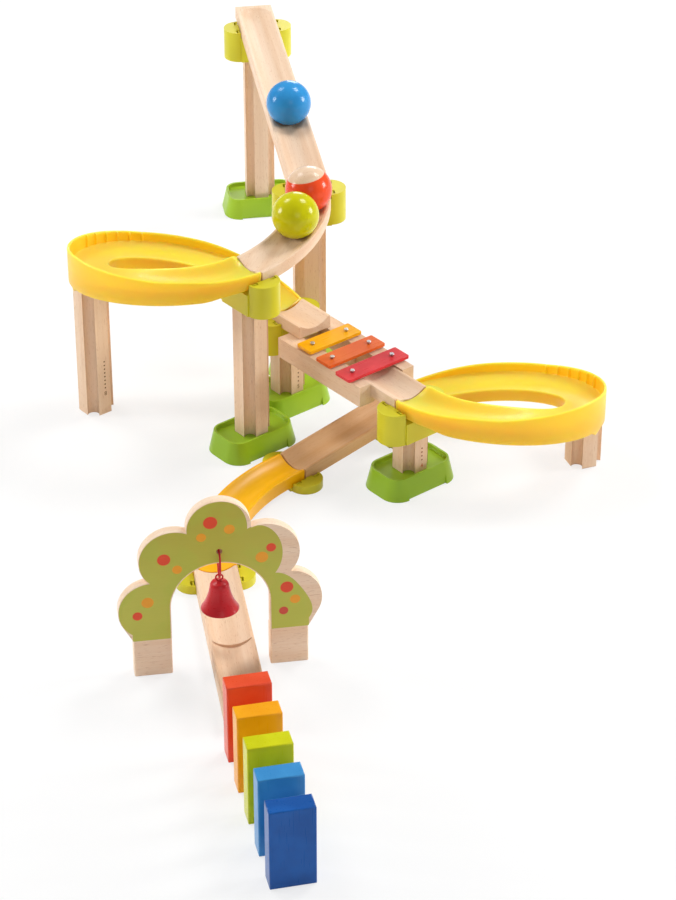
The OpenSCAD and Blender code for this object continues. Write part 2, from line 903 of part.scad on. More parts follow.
module bell() {
  outside = [for (i = [0:bell_steps])
    let (f = i / bell_steps)
    [bell_curve(f), bell_top_z - f * bell_h]];
  inside = [for (i = [bell_steps:-1:0])
    let (f = i / bell_steps)
    [max(0, bell_curve(f) - bell_wall), bell_top_z - bell_wall - f * (bell_h - bell_wall)]];
  color("#b3242b")
    gate_pose() {
      rotate_extrude()
        polygon(concat(outside, inside));
      translate([0, 0, bell_pivot_z - eye_hang])
        rotate([0, 90, 0])
          rotate_extrude()
            translate([eye_r, 0])
              circle(d = eye_t, $fn = 24);
      translate([0, 0, clapper_z])
        rotate([90, 0, 0])
          cylinder(h = clapper_pin_l, d = clapper_pin_d, center = true, $fn = 32);
    }
}

// The clapper swings on a pin across the crown of the bell
clapper_gap = 2;
clapper_up = 1;
clapper_z = bell_top_z - 2 * bell_wall - clapper_gap;
clapper_pin_d = 1.2;
clapper_pin_l = 2 * bell_curve((bell_top_z - clapper_z) / bell_h) - bell_wall;
clapper_eye_d = 4;
clapper_eye_w = 2.6;
clapper_rod_d = 1.6;
clapper_ball_d = 7;

module bell_clapper() {
  low = bell_rim_z + clapper_ball_d / 2 + clapper_up;
  color("#c9cacd")
    gate_pose()
      difference() {
        union() {
          translate([0, 0, low])
            cylinder(h = clapper_z - low, d = clapper_rod_d, $fn = 32);
          translate([0, 0, low])
            sphere(d = clapper_ball_d);
          translate([0, 0, clapper_z])
            rotate([90, 0, 0])
              cylinder(h = clapper_eye_w, d = clapper_eye_d, center = true);
        }
        translate([0, 0, clapper_z])
          rotate([90, 0, 0])
            cylinder(h = 2 * clapper_eye_w, d = clapper_pin_d + 2 * fit, center = true);
      }
}

// Half of the cord loop, as [forward, up] from the bell eye, mirrored for the back strand
cord_off = 4.65;
cord_clear = board_t / 2 + cord_off;
cord_ease = 0.2;
cord_rise = cord_hole_z - (cord_hole_d - cord_d) / 2 + cord_ease - bell_pivot_z;
cord_half = [[0, 0], [0.32, 0.045], [0.58, 0.155], [0.8, 0.31], [0.94, 0.475], [1, 0.64],
  [0.985, 0.8], [0.86, 0.925], [0.64, 0.99], [0.33, 1.0], [0, 1.0]];
cord_sides = 8;

module bell_cord() {
  front = [for (p = cord_half) [p[0] * cord_clear, p[1] * cord_rise]];
  back = [for (i = [len(front) - 2:-1:1]) [-front[i][0], front[i][1]]];
  route = concat(front, back);
  n = len(route);
  points = [for (i = [0:n - 1])
    let (way = route[(i + 1) % n] - route[(i + n - 1) % n])
    let (out = [way[1], -way[0]] / norm(way))
    for (j = [0:cord_sides - 1])
      let (a = 360 * j / cord_sides)
      [route[i][0] + out[0] * cord_d / 2 * cos(a), cord_d / 2 * sin(a),
        route[i][1] + out[1] * cord_d / 2 * cos(a)]];
  faces = [for (i = [0:n - 1], j = [0:cord_sides - 1])
    let (m = (i + 1) % n)
    let (k = (j + 1) % cord_sides)
    each [[i * cord_sides + j, i * cord_sides + k, m * cord_sides + k],
      [i * cord_sides + j, m * cord_sides + k, m * cord_sides + j]]];
  color("#d8232c")
    gate_pose()
      translate([0, 0, bell_pivot_z])
        polyhedron(points = points, faces = faces, convexity = 6);
}

// Dominoes past the end of the finish track
module domino_block() {
  translate([0, 0, domino_h / 2])
    intersection() {
      translate([0, 0, -domino_h / 2])
        linear_extrude(domino_h)
          rounded_bar(domino_t, domino_w, domino_round);
      rotate([90, 0, 0])
        linear_extrude(domino_w, center = true)
          rounded_bar(domino_t, domino_h, domino_round);
      rotate([90, 0, 90])
        linear_extrude(domino_t, center = true)
          rounded_bar(domino_w, domino_h, domino_round);
    }
}

module domino(i, paint) {
  first = at_finish + (finish_run + domino_first) * along(outer_heading)
    + domino_side * along(outer_heading + 90);
  row = outer_heading + domino_turn;
  color(paint)
    at(first + i * domino_pitch * along(row), 0, row)
      domino_block();
}

module domino_red() { domino(0, "#e8502f"); }
module domino_orange() { domino(1, "#f9a90f"); }
module domino_lime() { domino(2, "#d2d400"); }
module domino_sky() { domino(3, "#3e93d2"); }
module domino_blue() { domino(4, "#0d57a8"); }

// Balls, each just clear of the groove it rolls in
ball_z = groove_floor + fit + ball_d / 2;

module ball_blue() {
  color("#2f8fd0")
    at(at_bend, bed_bend, outer_heading)
      rotate([0, start_slope, 0])
        translate([(ball_1_at - start_run) / cos(start_slope), 0, ball_z])
          sphere(d = ball_d);
}

module bend_ball(turn, paint) {
  color(paint)
    bend_pose()
      rotate([0, 0, 90 + bend_turn - turn])
        translate([bend_tilt_r, 0, ball_z])
          sphere(d = ball_d);
}

module ball_red() { bend_ball(ball_2_at, "#ec4a2e"); }
module ball_lime() { bend_ball(ball_3_at, "#c4cc00"); }

// Feet, columns and connectors at their places
bend_foot_turn = -8;
module foot_start() { foot(at_start, outer_heading + 90, outer_heading); }
module foot_bend() { foot(at_bend, bend_foot_turn, outer_heading); }
module foot_spiral() { foot(at_spiral, entry_heading, entry_heading); }
module foot_chime_head() { foot(at_chime_head, chime_heading + 90, chime_heading); }
module foot_chime_exit() { foot(at_chime_exit, chime_heading + 90, chime_heading); }

module footed_column(place, levels, heading) { column(place, seat_z, levels * level_h, heading); }
module column_start() { footed_column(at_start, start_levels, outer_heading); }
module column_bend() { footed_column(at_bend, bend_levels, outer_heading); }
module column_spiral() { footed_column(at_spiral, spiral_levels, entry_heading); }
module column_chime_head() { footed_column(at_chime_head, chime_levels, chime_heading); }
module column_chime_exit() { footed_column(at_chime_exit, exit_levels, chime_heading); }
module column_far_1() {
  column(at_far_1, 0, bed_spiral + far_seat(drop_1), axis_1 + far_turn_1);
}
module column_far_2() {
  column(at_far_2, 0, bed_chime_exit + far_seat(drop_2), axis_2 + far_turn_2);
}

// Room in the connectors for the lanes and the low bend, which swing to the inside of their turn
room_end = 2 * connector_h;
bend_swing = 1.2;
lane_swing_in = 5;
lane_swing_out = 1.5;
lane_steeper = 1.55;
lane_slope = lane_steeper * atan(fall_even / (6 * entry_pull));

module connector_start() {
  color(clip_lime)
    saddle_connector(at_start, start_levels, outer_heading)
      slope_room(start_slope, -room_end, room_end, 0, 0);
}

module connector_bend() {
  color(clip_lime)
    difference() {
      saddle_connector(at_bend, bend_levels, outer_heading);
      bend_room();
    }
}

module connector_spiral() {
  color(clip_lime)
    difference() {
      saddle_connector(at_spiral, spiral_levels, entry_heading)
        slope_room(lane_slope, 0, room_end, 0, lane_swing_in);
      bend_room();
    }
}

module connector_chime_head() {
  color(clip_lime)
    saddle_connector(at_chime_head, chime_levels, chime_heading)
      slope_room(0, -room_end, joint_gap, 0, lane_swing_out);
}

module connector_chime_exit() {
  color(clip_lime)
    saddle_connector(at_chime_exit, exit_levels, chime_heading)
      slope_room(lane_slope, 0, room_end, lane_swing_in, 0);
}

module connector_ramp_head() {
  color(clip_lime)
    at(at_ramp_head, 0, entry_heading)
      difference() {
        connector_body(ramp_bed + lobe_rise);
        translate([0, 0, ramp_bed]) {
          slope_room(ramp_slope, -joint_gap, room_end, room_side, room_side);
          slope_room(0, -room_end, joint_gap, lane_swing_out, 0);
        }
      }
}

module connector_ramp_foot() { floor_connector(at_ramp_foot, entry_heading, 0, room_end); }
module connector_finish() { floor_connector(at_finish, outer_heading, -room_end, 0); }

foot_start();
foot_bend();
foot_spiral();
foot_chime_head();
foot_chime_exit();
column_start();
column_bend();
column_spiral();
column_chime_head();
column_chime_exit();
column_far_1();
column_far_2();
connector_start();
connector_bend();
connector_spiral();
connector_chime_head();
connector_chime_exit();
connector_ramp_head();
connector_ramp_foot();
connector_finish();
start_ramp();
upper_bend();
spiral_1();
spiral_2();
long_ramp();
low_bend();
finish_track();
chime_rail_near();
chime_rail_far();
chime_entry_chute();
chime_exit_chute();
chime_cross_bar();
chime_bar_yellow();
chime_bar_orange();
chime_bar_red();
chime_pins();
chime_felts();
tree_board();
tree_block_left();
tree_block_right();
tree_dowels();
bell();
bell_clapper();
bell_cord();
domino_red();
domino_orange();
domino_lime();
domino_sky();
domino_blue();
ball_blue();
ball_red();
ball_lime();
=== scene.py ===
"""Looks of the ball track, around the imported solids. Metres, +Z up, floor at z = 0."""

import math

import bpy
from mathutils import Matrix, Vector


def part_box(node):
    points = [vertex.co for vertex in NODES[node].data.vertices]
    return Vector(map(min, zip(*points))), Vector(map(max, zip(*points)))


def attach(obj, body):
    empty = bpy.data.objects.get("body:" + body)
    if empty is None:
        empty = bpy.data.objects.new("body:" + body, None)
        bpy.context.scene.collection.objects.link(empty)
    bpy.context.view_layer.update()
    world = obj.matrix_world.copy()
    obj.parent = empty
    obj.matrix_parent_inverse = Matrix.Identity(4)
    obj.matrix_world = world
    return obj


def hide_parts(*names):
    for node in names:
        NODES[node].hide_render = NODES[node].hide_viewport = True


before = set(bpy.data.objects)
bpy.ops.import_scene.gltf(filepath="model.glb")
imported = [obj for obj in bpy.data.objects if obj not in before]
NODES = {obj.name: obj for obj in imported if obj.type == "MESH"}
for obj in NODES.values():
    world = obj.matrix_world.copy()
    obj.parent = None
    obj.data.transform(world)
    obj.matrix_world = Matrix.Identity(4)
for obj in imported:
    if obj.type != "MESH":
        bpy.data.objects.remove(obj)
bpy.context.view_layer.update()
MM = 0.001
bpy.ops.object.select_all(action="DESELECT")
bpy.context.scene.view_settings.view_transform = "Standard"

# Camera at the photograph's viewing angle
CAMERA_PLACE = (0.00205, -2.3257, 1.4838)
CAMERA_PITCH = 32.0
CAMERA_LENS = 116.0
CAMERA_SENSOR = 36.0
CAMERA_REACH = 50.0
bpy.ops.object.camera_add(location=CAMERA_PLACE, rotation=(math.radians(90 - CAMERA_PITCH), 0, 0))
camera = bpy.context.object
camera.data.lens = CAMERA_LENS
camera.data.sensor_width = CAMERA_SENSOR
camera.data.clip_end = CAMERA_REACH
bpy.context.scene.camera = camera

# Directions and falls of the tracks, the same as in the solids, in degrees
ENTRY_HEADING = 219.3
BEND_TURN = 60
BEND_HEADING = ENTRY_HEADING + BEND_TURN / 2
OUTER_HEADING = ENTRY_HEADING + BEND_TURN
CHIME_HEADING = ENTRY_HEADING + 90
START_FALL = 2.28
BEND_FALL = 5.3
LONG_RAMP_FALL = 8.6


def along(heading):
    """Unit vector of a compass direction on the floor."""
    a = math.radians(heading)
    return Vector((math.cos(a), math.sin(a), 0.0))


def corners(node):
    """Lowest and highest corner of a solid."""
    low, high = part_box(node)
    return Vector(low), Vector(high)


def middle(node):
    """Middle of a solid's box."""
    low, high = corners(node)
    return (low + high) / 2


def srgb(code):
    """Linear colour of a hex code, as a shader socket takes it."""
    shares = [int(code[i:i + 2], 16) / 255 for i in (1, 3, 5)]
    linear = [c / 12.92 if c <= 0.04045 else ((c + 0.055) / 1.055) ** 2.4 for c in shares]
    return (*linear, 1.0)


class Field:
    """A shader socket that takes part in Python sums; node() makes any other node."""

    def __init__(self, tree, socket):
        self.tree = tree
        self.socket = socket

    def put(self, target, value):
        """Links a field to a socket, or sets the socket to a constant."""
        if isinstance(value, Field):
            self.tree.links.new(value.socket, target)
        else:
            target.default_value = value

    def node(self, kind, settings=None, sockets=None, out=0):
        """A new node with its settings and its sockets' values or links; gives one output."""
        made = self.tree.nodes.new(kind)
        for key, value in (settings or {}).items():
            setattr(made, key, value)
        for key, value in (sockets or {}).items():
            self.put(made.inputs[key], value)
        return Field(self.tree, made.outputs[out])

    def math(self, operation, *values):
        return self.node("ShaderNodeMath", {"operation": operation}, dict(enumerate(values)))

    def __add__(self, other):
        return self.math("ADD", self, other)

    def __radd__(self, other):
        return self.math("ADD", other, self)

    def __sub__(self, other):
        return self.math("SUBTRACT", self, other)

    def __rsub__(self, other):
        return self.math("SUBTRACT", other, self)

    def __mul__(self, other):
        return self.math("MULTIPLY", self, other)

    def __rmul__(self, other):
        return self.math("MULTIPLY", other, self)

    def __pow__(self, other):
        return self.math("POWER", self, other)

    def __abs__(self):
        return self.math("ABSOLUTE", self)

    def step(self, low, high):
        """0 below low, 1 above high, smooth between them."""
        return self.node("ShaderNodeMapRange", {"interpolation_type": "SMOOTHSTEP"},
                         {"Value": self, "From Min": low, "From Max": high})

    def noise(self, scale, detail=2.0, roughness=0.5):
        """Noise on this field's vector."""
        return self.node("ShaderNodeTexNoise", {},
                         {"Vector": self, "Scale": scale, "Detail": detail, "Roughness": roughness})

    def stretch(self, scale, turn=(0, 0, 0), shift=(0, 0, 0)):
        """This field's vector, moved, turned and then scaled axis by axis."""
        moved = self.node("ShaderNodeMapping", {"vector_type": "TEXTURE"},
                          {"Vector": self, "Location": shift, "Rotation": turn})
        return self.node("ShaderNodeVectorMath", {"operation": "MULTIPLY"}, {0: moved, 1: scale})

    def part(self, axis):
        """One component of this field's vector."""
        return self.node("ShaderNodeSeparateXYZ", {}, {0: self}, out=axis)

    def mix(self, low, high):
        """Colour from low to high by this field."""
        return self.node("ShaderNodeMix", {"data_type": "RGBA"},
                         {0: self, 6: low, 7: high}, out=2)

    def bump(self, strength, distance):
        """Normal over this field as a height, distance in metres."""
        return self.node("ShaderNodeBump", {},
                         {"Height": self, "Strength": strength, "Distance": distance})


def finish_start(name):
    """A new material with its shader and its place on the piece."""
    material = bpy.data.materials.new(name)
    material.use_nodes = True
    tree = material.node_tree
    shader = tree.nodes["Principled BSDF"]
    place = Field(tree, tree.nodes.new("ShaderNodeTexCoord").outputs["Object"])
    return material, shader, place


def connect(place, shader, **sockets):
    """Sets shader sockets from fields or constants, named with _ for a space."""
    for key, value in sockets.items():
        place.put(shader.inputs[key.replace("_", " ")], value)


# Clear skins over the finishes
WOOD_SKIN = {"Coat_Weight": 0.08, "Coat_Roughness": 0.25, "Specular_IOR_Level": 0.3}
PRINT_SKIN = {"Coat_Weight": 0.08, "Coat_Roughness": 0.2, "Specular_IOR_Level": 0.3}
MOULDED_SKIN = {"Coat_Weight": 0.08, "Coat_Roughness": 0.12, "Specular_IOR_Level": 0.3}
LACQUER_SKIN = {"Coat_Weight": 0.14, "Coat_Roughness": 0.06, "Specular_IOR_Level": 0.2}

# Patterns: waves in a metre, along the grain or the marks first
BAND_WAVES = (3, 90, 90)
FIBRE_WAVES = (18, 900, 900)
FLECK_WAVES = (170, 1300, 1300)
LACQUER_WAVES = (30, 700, 700)
MARK_WAVES = (900, 900, 120)
STRAND_WAVES = (1800, 1800, 1400)
STRAND_TURN = (0.6, 0.5, 0.0)
DRIFT_WAVES = 9.0
GLOSS_WAVES = 60.0
SKIN_WAVES = 700.0
CLOUD_WAVES = 45.0
FUZZ_WAVES = 2600.0
LEAF_WAVES = 28.0

# Reliefs: strength, and height in metres
WOOD_RELIEF = (0.12, 0.0004)
PRINT_RELIEF = (0.08, 0.0003)
MOULDED_RELIEF = (0.05, 0.0002)
LACQUER_RELIEF = (0.06, 0.0003)
FELT_RELIEF = (0.4, 0.0006)
BRAID_RELIEF = (0.5, 0.0003)

# Beech: its usual tones; a paler copy for the gate, a painted light, and a deeper copy for the long
# ramp, a painted shade
BEECH_LIGHT = srgb("#EED2B6")
BEECH_MID = srgb("#DDB48E")
BEECH_DARK = srgb("#BB8553")
# Paler copy of the beech tones for the gate: painted light
PAINTED_LIGHT_BEECH = (srgb("#FCE4CB"), srgb("#EFCBA6"))
# Deeper copy of the beech tones for the long ramp: painted shade
PAINTED_SHADE_BEECH = (srgb("#DDB387"), srgb("#CE9A66"))
PLANK_SHIFT = (1.0, 0.7, 0.4)
# Noise levels between which bands and flecks show, and the shares of the grain in the tone
BAND_SHOWS = (0.35, 0.7)
FLECK_SHOWS = (0.62, 0.72)
BAND_SHARE = 0.5
FIBRE_SHARE = 0.6
FLECK_SHARE = 0.35
TONE_BASE = 0.1


def beech_colour(place, turn, shift=0.0, light=BEECH_LIGHT, mid=BEECH_MID):
    """Beech with its grain along the turned X axis: bands, fibres and short flecks.
    Another shift is another plank. Gives the colour, the fibres and the flecks."""
    grain = place.stretch((1, 1, 1), turn, tuple(shift * way for way in PLANK_SHIFT))
    bands = grain.stretch(BAND_WAVES).noise(1.0, 3.0).step(*BAND_SHOWS)
    fibres = grain.stretch(FIBRE_WAVES).noise(1.0, 3.0, 0.6)
    flecks = grain.stretch(FLECK_WAVES).noise(1.0, 1.0).step(*FLECK_SHOWS)
    tone = bands * BAND_SHARE + (fibres - 0.5) * FIBRE_SHARE + TONE_BASE
    return (flecks * FLECK_SHARE).mix(tone.mix(light, mid), BEECH_DARK), fibres, flecks


def beech(name, turn, shift=0.0, light=BEECH_LIGHT, mid=BEECH_MID):
    """Lacquered beech."""
    material, shader, place = finish_start(name)
    colour, fibres, flecks = beech_colour(place, turn, shift, light, mid)
    connect(place, shader, Base_Color=colour, Roughness=0.42 + fibres * 0.16,
            Normal=(fibres * 0.6 - flecks * 0.4).bump(*WOOD_RELIEF), **WOOD_SKIN)
    return material


# Noise levels between which a slow drift of colour turns
DRIFT_TURNS = (0.3, 0.7)
# Light that comes through a thin moulding: its share and its reach in metres by colour; and the
# slopes between which the moulding turns to a paler colour on top, a painted light
GLOW_SHARE = 0.9
GLOW_REACH = (0.012, 0.008, 0.0022)
PAINTED_TOP_LIGHT_SLOPES = (-0.2, 0.95)


def moulded(name, light, deep, roughness=0.3, top=None):
    """Glossy moulded plastic: slow colour drift, fine flow marks, a clear skin.
    A thin moulding lets light through it, and its faces that look up are painted paler, a painted
    light."""
    material, shader, place = finish_start(name)
    drift = place.noise(DRIFT_WAVES).step(*DRIFT_TURNS)
    colour = drift.mix(srgb(light), srgb(deep))
    if top:
        connect(place, shader, Subsurface_Weight=GLOW_SHARE, Subsurface_Radius=GLOW_REACH,
                Subsurface_Scale=1.0)
        # Faces that look up get the paler colour: a painted light on the top of the moulding
        up = place.node("ShaderNodeNewGeometry", out="Normal").part("Z")
        colour = up.step(*PAINTED_TOP_LIGHT_SLOPES).mix(colour, srgb(top))
    connect(place, shader, Base_Color=colour,
            Roughness=roughness + place.noise(GLOSS_WAVES, 3.0) * 0.08,
            Normal=place.noise(SKIN_WAVES).bump(*MOULDED_RELIEF), **MOULDED_SKIN)
    return material


def lacquered(name, light, deep, turn, gloss):
    """Opaque gloss lacquer on turned or planed wood, with the grain telegraphing faintly."""
    material, shader, place = finish_start(name)
    grain = place.stretch(LACQUER_WAVES, turn).noise(1.0)
    cloud = place.noise(CLOUD_WAVES).step(*DRIFT_TURNS)
    connect(place, shader, Base_Color=cloud.mix(srgb(light), srgb(deep)),
            Roughness=gloss + grain * 0.1, Normal=grain.bump(*LACQUER_RELIEF), **LACQUER_SKIN)
    return material


def steel(name):
    """Polished steel with fine turning marks."""
    material, shader, place = finish_start(name)
    marks = place.stretch(MARK_WAVES).noise(1.0)
    connect(place, shader, Base_Color=marks.mix(srgb("#C9CACE"), srgb("#DADBDF")),
            Roughness=0.22 + marks * 0.2, Metallic=1.0)
    return material


def felt(name):
    """Pressed felt with a fuzzy face."""
    material, shader, place = finish_start(name)
    fuzz = place.noise(FUZZ_WAVES, 3.0, 0.7)
    connect(place, shader, Base_Color=fuzz.mix(srgb("#E6DECF"), srgb("#F4EFE5")),
            Roughness=0.85 + fuzz * 0.1, Normal=fuzz.bump(*FELT_RELIEF))
    return material


def braid(name):
    """Red cord, with its strands winding round it."""
    material, shader, place = finish_start(name)
    strands = place.stretch(STRAND_WAVES, STRAND_TURN).noise(1.0, 1.0)
    connect(place, shader, Base_Color=strands.mix(srgb("#B5161F"), srgb("#E03038")),
            Roughness=0.65 + strands * 0.15, Normal=strands.bump(*BRAID_RELIEF))
    return material


def ink(name, code):
    """Matt printing ink, thinner over the pores of the wood."""
    material, shader, place = finish_start(name)
    pores = place.stretch(MARK_WAVES).noise(1.0)
    connect(place, shader, Base_Color=(pores * 0.35).mix(srgb(code), BEECH_DARK),
            Roughness=0.55 + pores * 0.2)
    return material


def flat_turn(heading, fall=0.0):
    """Mapping turn that lays the grain along a compass direction, tilted down."""
    return (0.0, math.radians(fall), math.radians(heading))


UPRIGHT = (0.0, math.radians(-90), 0.0)
ACROSS_BOARD = flat_turn(OUTER_HEADING + 90)
ACROSS_FRAME = flat_turn(CHIME_HEADING + 90)

# Gate's board, the same as in the solids, in millimetres: thickness, arch, and the rounds of the
# tree as across, height above the arch's middle and radius
BOARD_T = 9.5
ARCH_Z = 67.5
ARCH_R = 42.4
TREE_ROUNDS = [(0, 0, 60), (0, 76.6, 27.6), (-39, 48, 29.5), (39, 48, 29.5),
               (-58.4, -1, 29), (58.4, -1, 29)]
# Legs of the print, its bare rim, and how far its right side moves in, growing across and upwards
PRINT_LEG_AT = 58.9
PRINT_LEG_HALF = 17.5
PRINT_LEG_TOP = 46
PRINT_RIM = 0.4
PRINT_SHIFT = 16
PRINT_SHIFT_ACROSS = (8, 66)
PRINT_SHIFT_UP = (36, 84)
# Soft edge of a printed spot and of the whole print, depth of ink below the front face,
# heights between which the green turns, and noise levels between which its paler clouds show
SPOT_EDGE = 0.25
PRINT_EDGE = 0.3
INK_DEPTH = (0.35, 0.15)
LEAF_TURNS = (70.0, 165.0)
LEAF_CLOUD_SHOWS = (0.5, 0.62)
LEAF_CLOUD_SHARE = 0.25
LEAF_FIBRE_SHARE = 0.25
# Round fruit printed on the tree: across, height, radius, colour
FRUIT_RED, FRUIT_ORANGE, FRUIT_DULL = "#EA4F30", "#F5A92F", "#D2503F"
TREE_FRUIT = [
    (-7, 151, 6.0, FRUIT_RED), (9, 143, 4.6, FRUIT_ORANGE), (-15, 137, 4.2, FRUIT_ORANGE),
    (-47, 118, 5.6, FRUIT_RED), (-36, 107, 4.2, FRUIT_ORANGE), (36, 112, 5.4, FRUIT_ORANGE),
    (44, 121, 4.2, FRUIT_RED), (-62, 76, 5.2, FRUIT_ORANGE), (-71, 63, 4.2, FRUIT_RED),
    (57, 79, 5.6, FRUIT_RED), (64, 66, 4.4, FRUIT_ORANGE), (54, 55, 4.0, FRUIT_DULL),
]
GATE_MIDDLE = middle("tree_board") * Vector((1, 1, 0))


def distance(a, b):
    """Length of a flat vector whose parts are fields."""
    return (a ** 2 + b ** 2) ** 0.5


def printed_tree(name):
    """The board: beech edges and back, a green print with round fruit on the front face."""
    material, shader, place = finish_start(name)
    own = place.stretch((1 / MM,) * 3, flat_turn(OUTER_HEADING), tuple(GATE_MIDDLE))
    depth, across, height = (own.part(axis) for axis in "XYZ")
    # The board's bare wood takes the paler beech copy, a painted light
    wood, fibres, _ = beech_colour(place, ACROSS_BOARD, 2.1, *PAINTED_LIGHT_BEECH)

    leaf = height.step(*LEAF_TURNS).mix(srgb("#C6C855"), srgb("#BDB446"))
    leaf = ((fibres - 0.4) * LEAF_FIBRE_SHARE).mix(leaf, srgb("#A8B03F"))
    cloud = place.noise(LEAF_WAVES).step(*LEAF_CLOUD_SHOWS)
    leaf = (cloud * LEAF_CLOUD_SHARE).mix(leaf, srgb("#B4C84A"))
    for y, z, radius, fruit in TREE_FRUIT:
        spot = 1 - distance(across - y, height - z).step(radius - SPOT_EDGE, radius + SPOT_EDGE)
        leaf = spot.mix(leaf, srgb(fruit))

    # The print keeps clear of the edges, most of all on the right
    moved = across + across.step(*PRINT_SHIFT_ACROSS) * height.step(*PRINT_SHIFT_UP) * PRINT_SHIFT
    inside = own.math("MINIMUM", PRINT_LEG_HALF - abs(abs(across) - PRINT_LEG_AT),
                      PRINT_LEG_TOP - height)
    for y, rise, radius in TREE_ROUNDS:
        reach = distance(moved - y, height - (ARCH_Z + rise))
        inside = own.math("MAXIMUM", inside, radius - reach)
    above = own.math("MAXIMUM", height - ARCH_Z, 0.0)
    arch = distance(across, above) - (ARCH_R + PRINT_RIM)
    front = depth.step(*(BOARD_T / 2 - below for below in INK_DEPTH))
    front = front * own.math("MINIMUM", inside, arch).step(PRINT_RIM, PRINT_RIM + PRINT_EDGE)
    connect(place, shader, Base_Color=front.mix(wood, leaf),
            Roughness=0.5 - front * 0.12 + fibres * 0.1,
            Normal=fibres.bump(*PRINT_RELIEF), **PRINT_SKIN)
    return material


# Rounding of edges in dress: corners merged within a gap in metres, angles in degrees
WELD_GAP = 0.00002
FLAT_ANGLE = 0.6
EDGE_ANGLE = 32
EDGE_SEGMENTS = 3


def dress(node, material, edge):
    """Gives a solid its material, smooth shading and, where asked, rounded edges."""
    piece = NODES[node]
    piece.data.materials.clear()
    piece.data.materials.append(material)
    piece.data.polygons.foreach_set("use_smooth", [True] * len(piece.data.polygons))
    weld = piece.modifiers.new("merged", "WELD")
    weld.merge_threshold = WELD_GAP
    if edge:
        flat = piece.modifiers.new("flat_faces", "DECIMATE")
        flat.decimate_type = "DISSOLVE"
        flat.angle_limit = math.radians(FLAT_ANGLE)
        round_edges = piece.modifiers.new("rounded", "BEVEL")
        round_edges.width = edge * MM
        round_edges.segments = EDGE_SEGMENTS
        round_edges.limit_method = "ANGLE"
        round_edges.angle_limit = math.radians(EDGE_ANGLE)
        round_edges.miter_outer = "MITER_ARC"
    if not node.startswith("ball"):
        even = piece.modifiers.new("even_shading", "WEIGHTED_NORMAL")
        even.keep_sharp = True
        even.weight = 100


# Smoothing of the spirals: merging gap in metres, angles in degrees, crease of the rims
MERGE_GAP = 0.00001
QUAD_ANGLE = 40
QUAD_SKEW = 90
RIM_ANGLE = 44
RIM_CREASE = 0.55
SMOOTH_LEVELS = 2
SHADE_ANGLE = 40


def moulding(node, material):
    """A smooth copy of a moulded spiral: its facets become curves and its rims stay crisp."""
    mesh = NODES[node].data.copy()
    piece = bpy.data.objects.new(node + "_moulding", mesh)
    bpy.context.scene.collection.objects.link(piece)
    mesh.materials.clear()
    mesh.materials.append(material)
    bpy.ops.object.select_all(action="DESELECT")
    bpy.context.view_layer.objects.active = piece
    piece.select_set(True)
    bpy.ops.object.mode_set(mode="EDIT")
    bpy.ops.mesh.select_mode(type="EDGE")
    bpy.ops.mesh.select_all(action="SELECT")
    bpy.ops.mesh.remove_doubles(threshold=MERGE_GAP)
    bpy.ops.mesh.tris_convert_to_quads(face_threshold=math.radians(QUAD_ANGLE),
                                       shape_threshold=math.radians(QUAD_SKEW))
    bpy.ops.mesh.select_all(action="DESELECT")
    bpy.ops.mesh.edges_select_sharp(sharpness=math.radians(RIM_ANGLE))
    bpy.ops.transform.edge_crease(value=RIM_CREASE)
    bpy.ops.object.mode_set(mode="OBJECT")
    smooth = piece.modifiers.new("smooth", "SUBSURF")
    smooth.levels = smooth.render_levels = SMOOTH_LEVELS
    bpy.ops.object.modifier_apply(modifier="smooth")
    bpy.ops.object.shade_smooth_by_angle(angle=math.radians(SHADE_ANGLE))
    piece.select_set(False)
    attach(piece, "track")
    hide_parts(node)


# What the pieces are made of, by the start of their names, and the rounding of their edges in
# millimetres; each track has its own plank
TRACK_EDGE = 0.8
CHIME_FRAME = ("chime_rail", "chime_entry", "chime_exit", "chime_cross")
GREEN = moulded("moulded_green", "#A4C82A", "#90B924")
LIME = moulded("moulded_lime", "#DCD430", "#CCC424")
# The yellow spirals are painted paler on faces that look up, a painted light
YELLOW = moulded("moulded_yellow", "#FFC834", "#FBBC2C", 0.34, "#FFD94C")
ORANGE = moulded("moulded_orange", "#FFBF06", "#FBB002")
# The gate's blocks take the paler beech copy, a painted light
BLOCK = beech("beech_block", ACROSS_BOARD, 1.8, *PAINTED_LIGHT_BEECH)
STEEL = steel("polished_steel")
FINISHES = [
    ("foot", GREEN, 1.6),
    ("column", beech("beech_column", UPRIGHT, 1.5), 0.7),
    ("connector", LIME, 0.7),
    ("start_ramp", beech("beech_start_ramp", flat_turn(OUTER_HEADING, START_FALL)), TRACK_EDGE),
    ("upper_bend", beech("beech_upper_bend", flat_turn(BEND_HEADING, BEND_FALL), 0.3), TRACK_EDGE),
    # The long ramp takes the deeper beech copy, a painted shade
    ("long_ramp",
     beech("beech_long_ramp", flat_turn(ENTRY_HEADING, LONG_RAMP_FALL), 0.6, *PAINTED_SHADE_BEECH), TRACK_EDGE),
    ("finish_track", beech("beech_finish_track", flat_turn(OUTER_HEADING), 0.9), TRACK_EDGE),
    ("low_bend", ORANGE, TRACK_EDGE),
    (CHIME_FRAME, beech("beech_chime_frame", flat_turn(CHIME_HEADING), 1.2), TRACK_EDGE),
    (("chime_pins", "bell_clapper"), STEEL, 0.45),
    ("chime_felts", felt("white_felt"), 0.0),
    ("tree_board", printed_tree("printed_board"), 1.2),
    ("tree_block", BLOCK, 0.8),
    ("tree_dowels", BLOCK, 0.0),
]
for node in NODES:
    for start, material, edge in FINISHES:
        if node.startswith(start):
            dress(node, material, edge)
for node in ("spiral_1", "spiral_2"):
    moulding(node, YELLOW)

